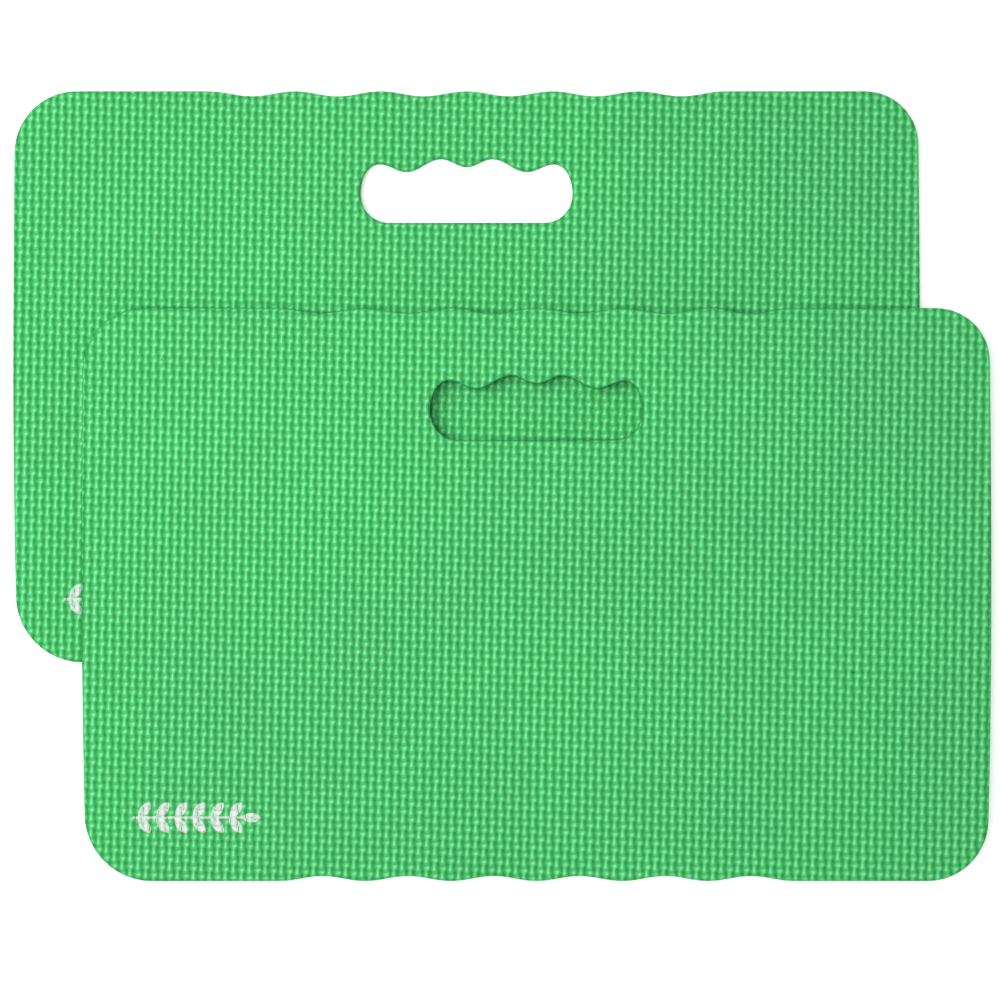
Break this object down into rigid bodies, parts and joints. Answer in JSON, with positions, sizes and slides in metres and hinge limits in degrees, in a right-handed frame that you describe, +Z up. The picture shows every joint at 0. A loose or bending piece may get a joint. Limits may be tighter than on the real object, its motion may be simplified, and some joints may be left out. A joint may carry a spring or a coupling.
{
  "type": "kneeling pad",
  "caption": "Foam garden kneeling pads with embossed weave faces, scalloped long edges and a finger-grooved hand slot, one lying on the other.",
  "frame": {"origin": "centre of the lower pad's underside, on the floor", "axes": "+X along the long scalloped edges, +Y from the kneeling edge to the hand slot edge, +Z up out of the kneeling face"},
  "size_m": [0.4788, 0.3866, 0.032],
  "materials": {
    "foam_core": "matt closed-cell foam, cut face",
    "foam_skin": "satin embossed foam skin with a basket weave",
    "print_ink": "matt white ink, slightly mottled by the weave"
  },
  "bodies": {
    "lower_pad": {"lower_core": "foam_core", "lower_top_sheet": "foam_skin", "lower_bottom_sheet": "foam_skin", "lower_print": "print_ink"},
    "upper_pad": {"upper_core": "foam_core", "upper_top_sheet": "foam_skin", "upper_bottom_sheet": "foam_skin", "upper_print": "print_ink"}
  },
  "joints": [
    {"name": "lift_upper_pad", "type": "slide", "parent": "lower_pad", "child": "upper_pad", "axis": [0, 0, 1], "range_m": [0, 0.12]}
  ]
}
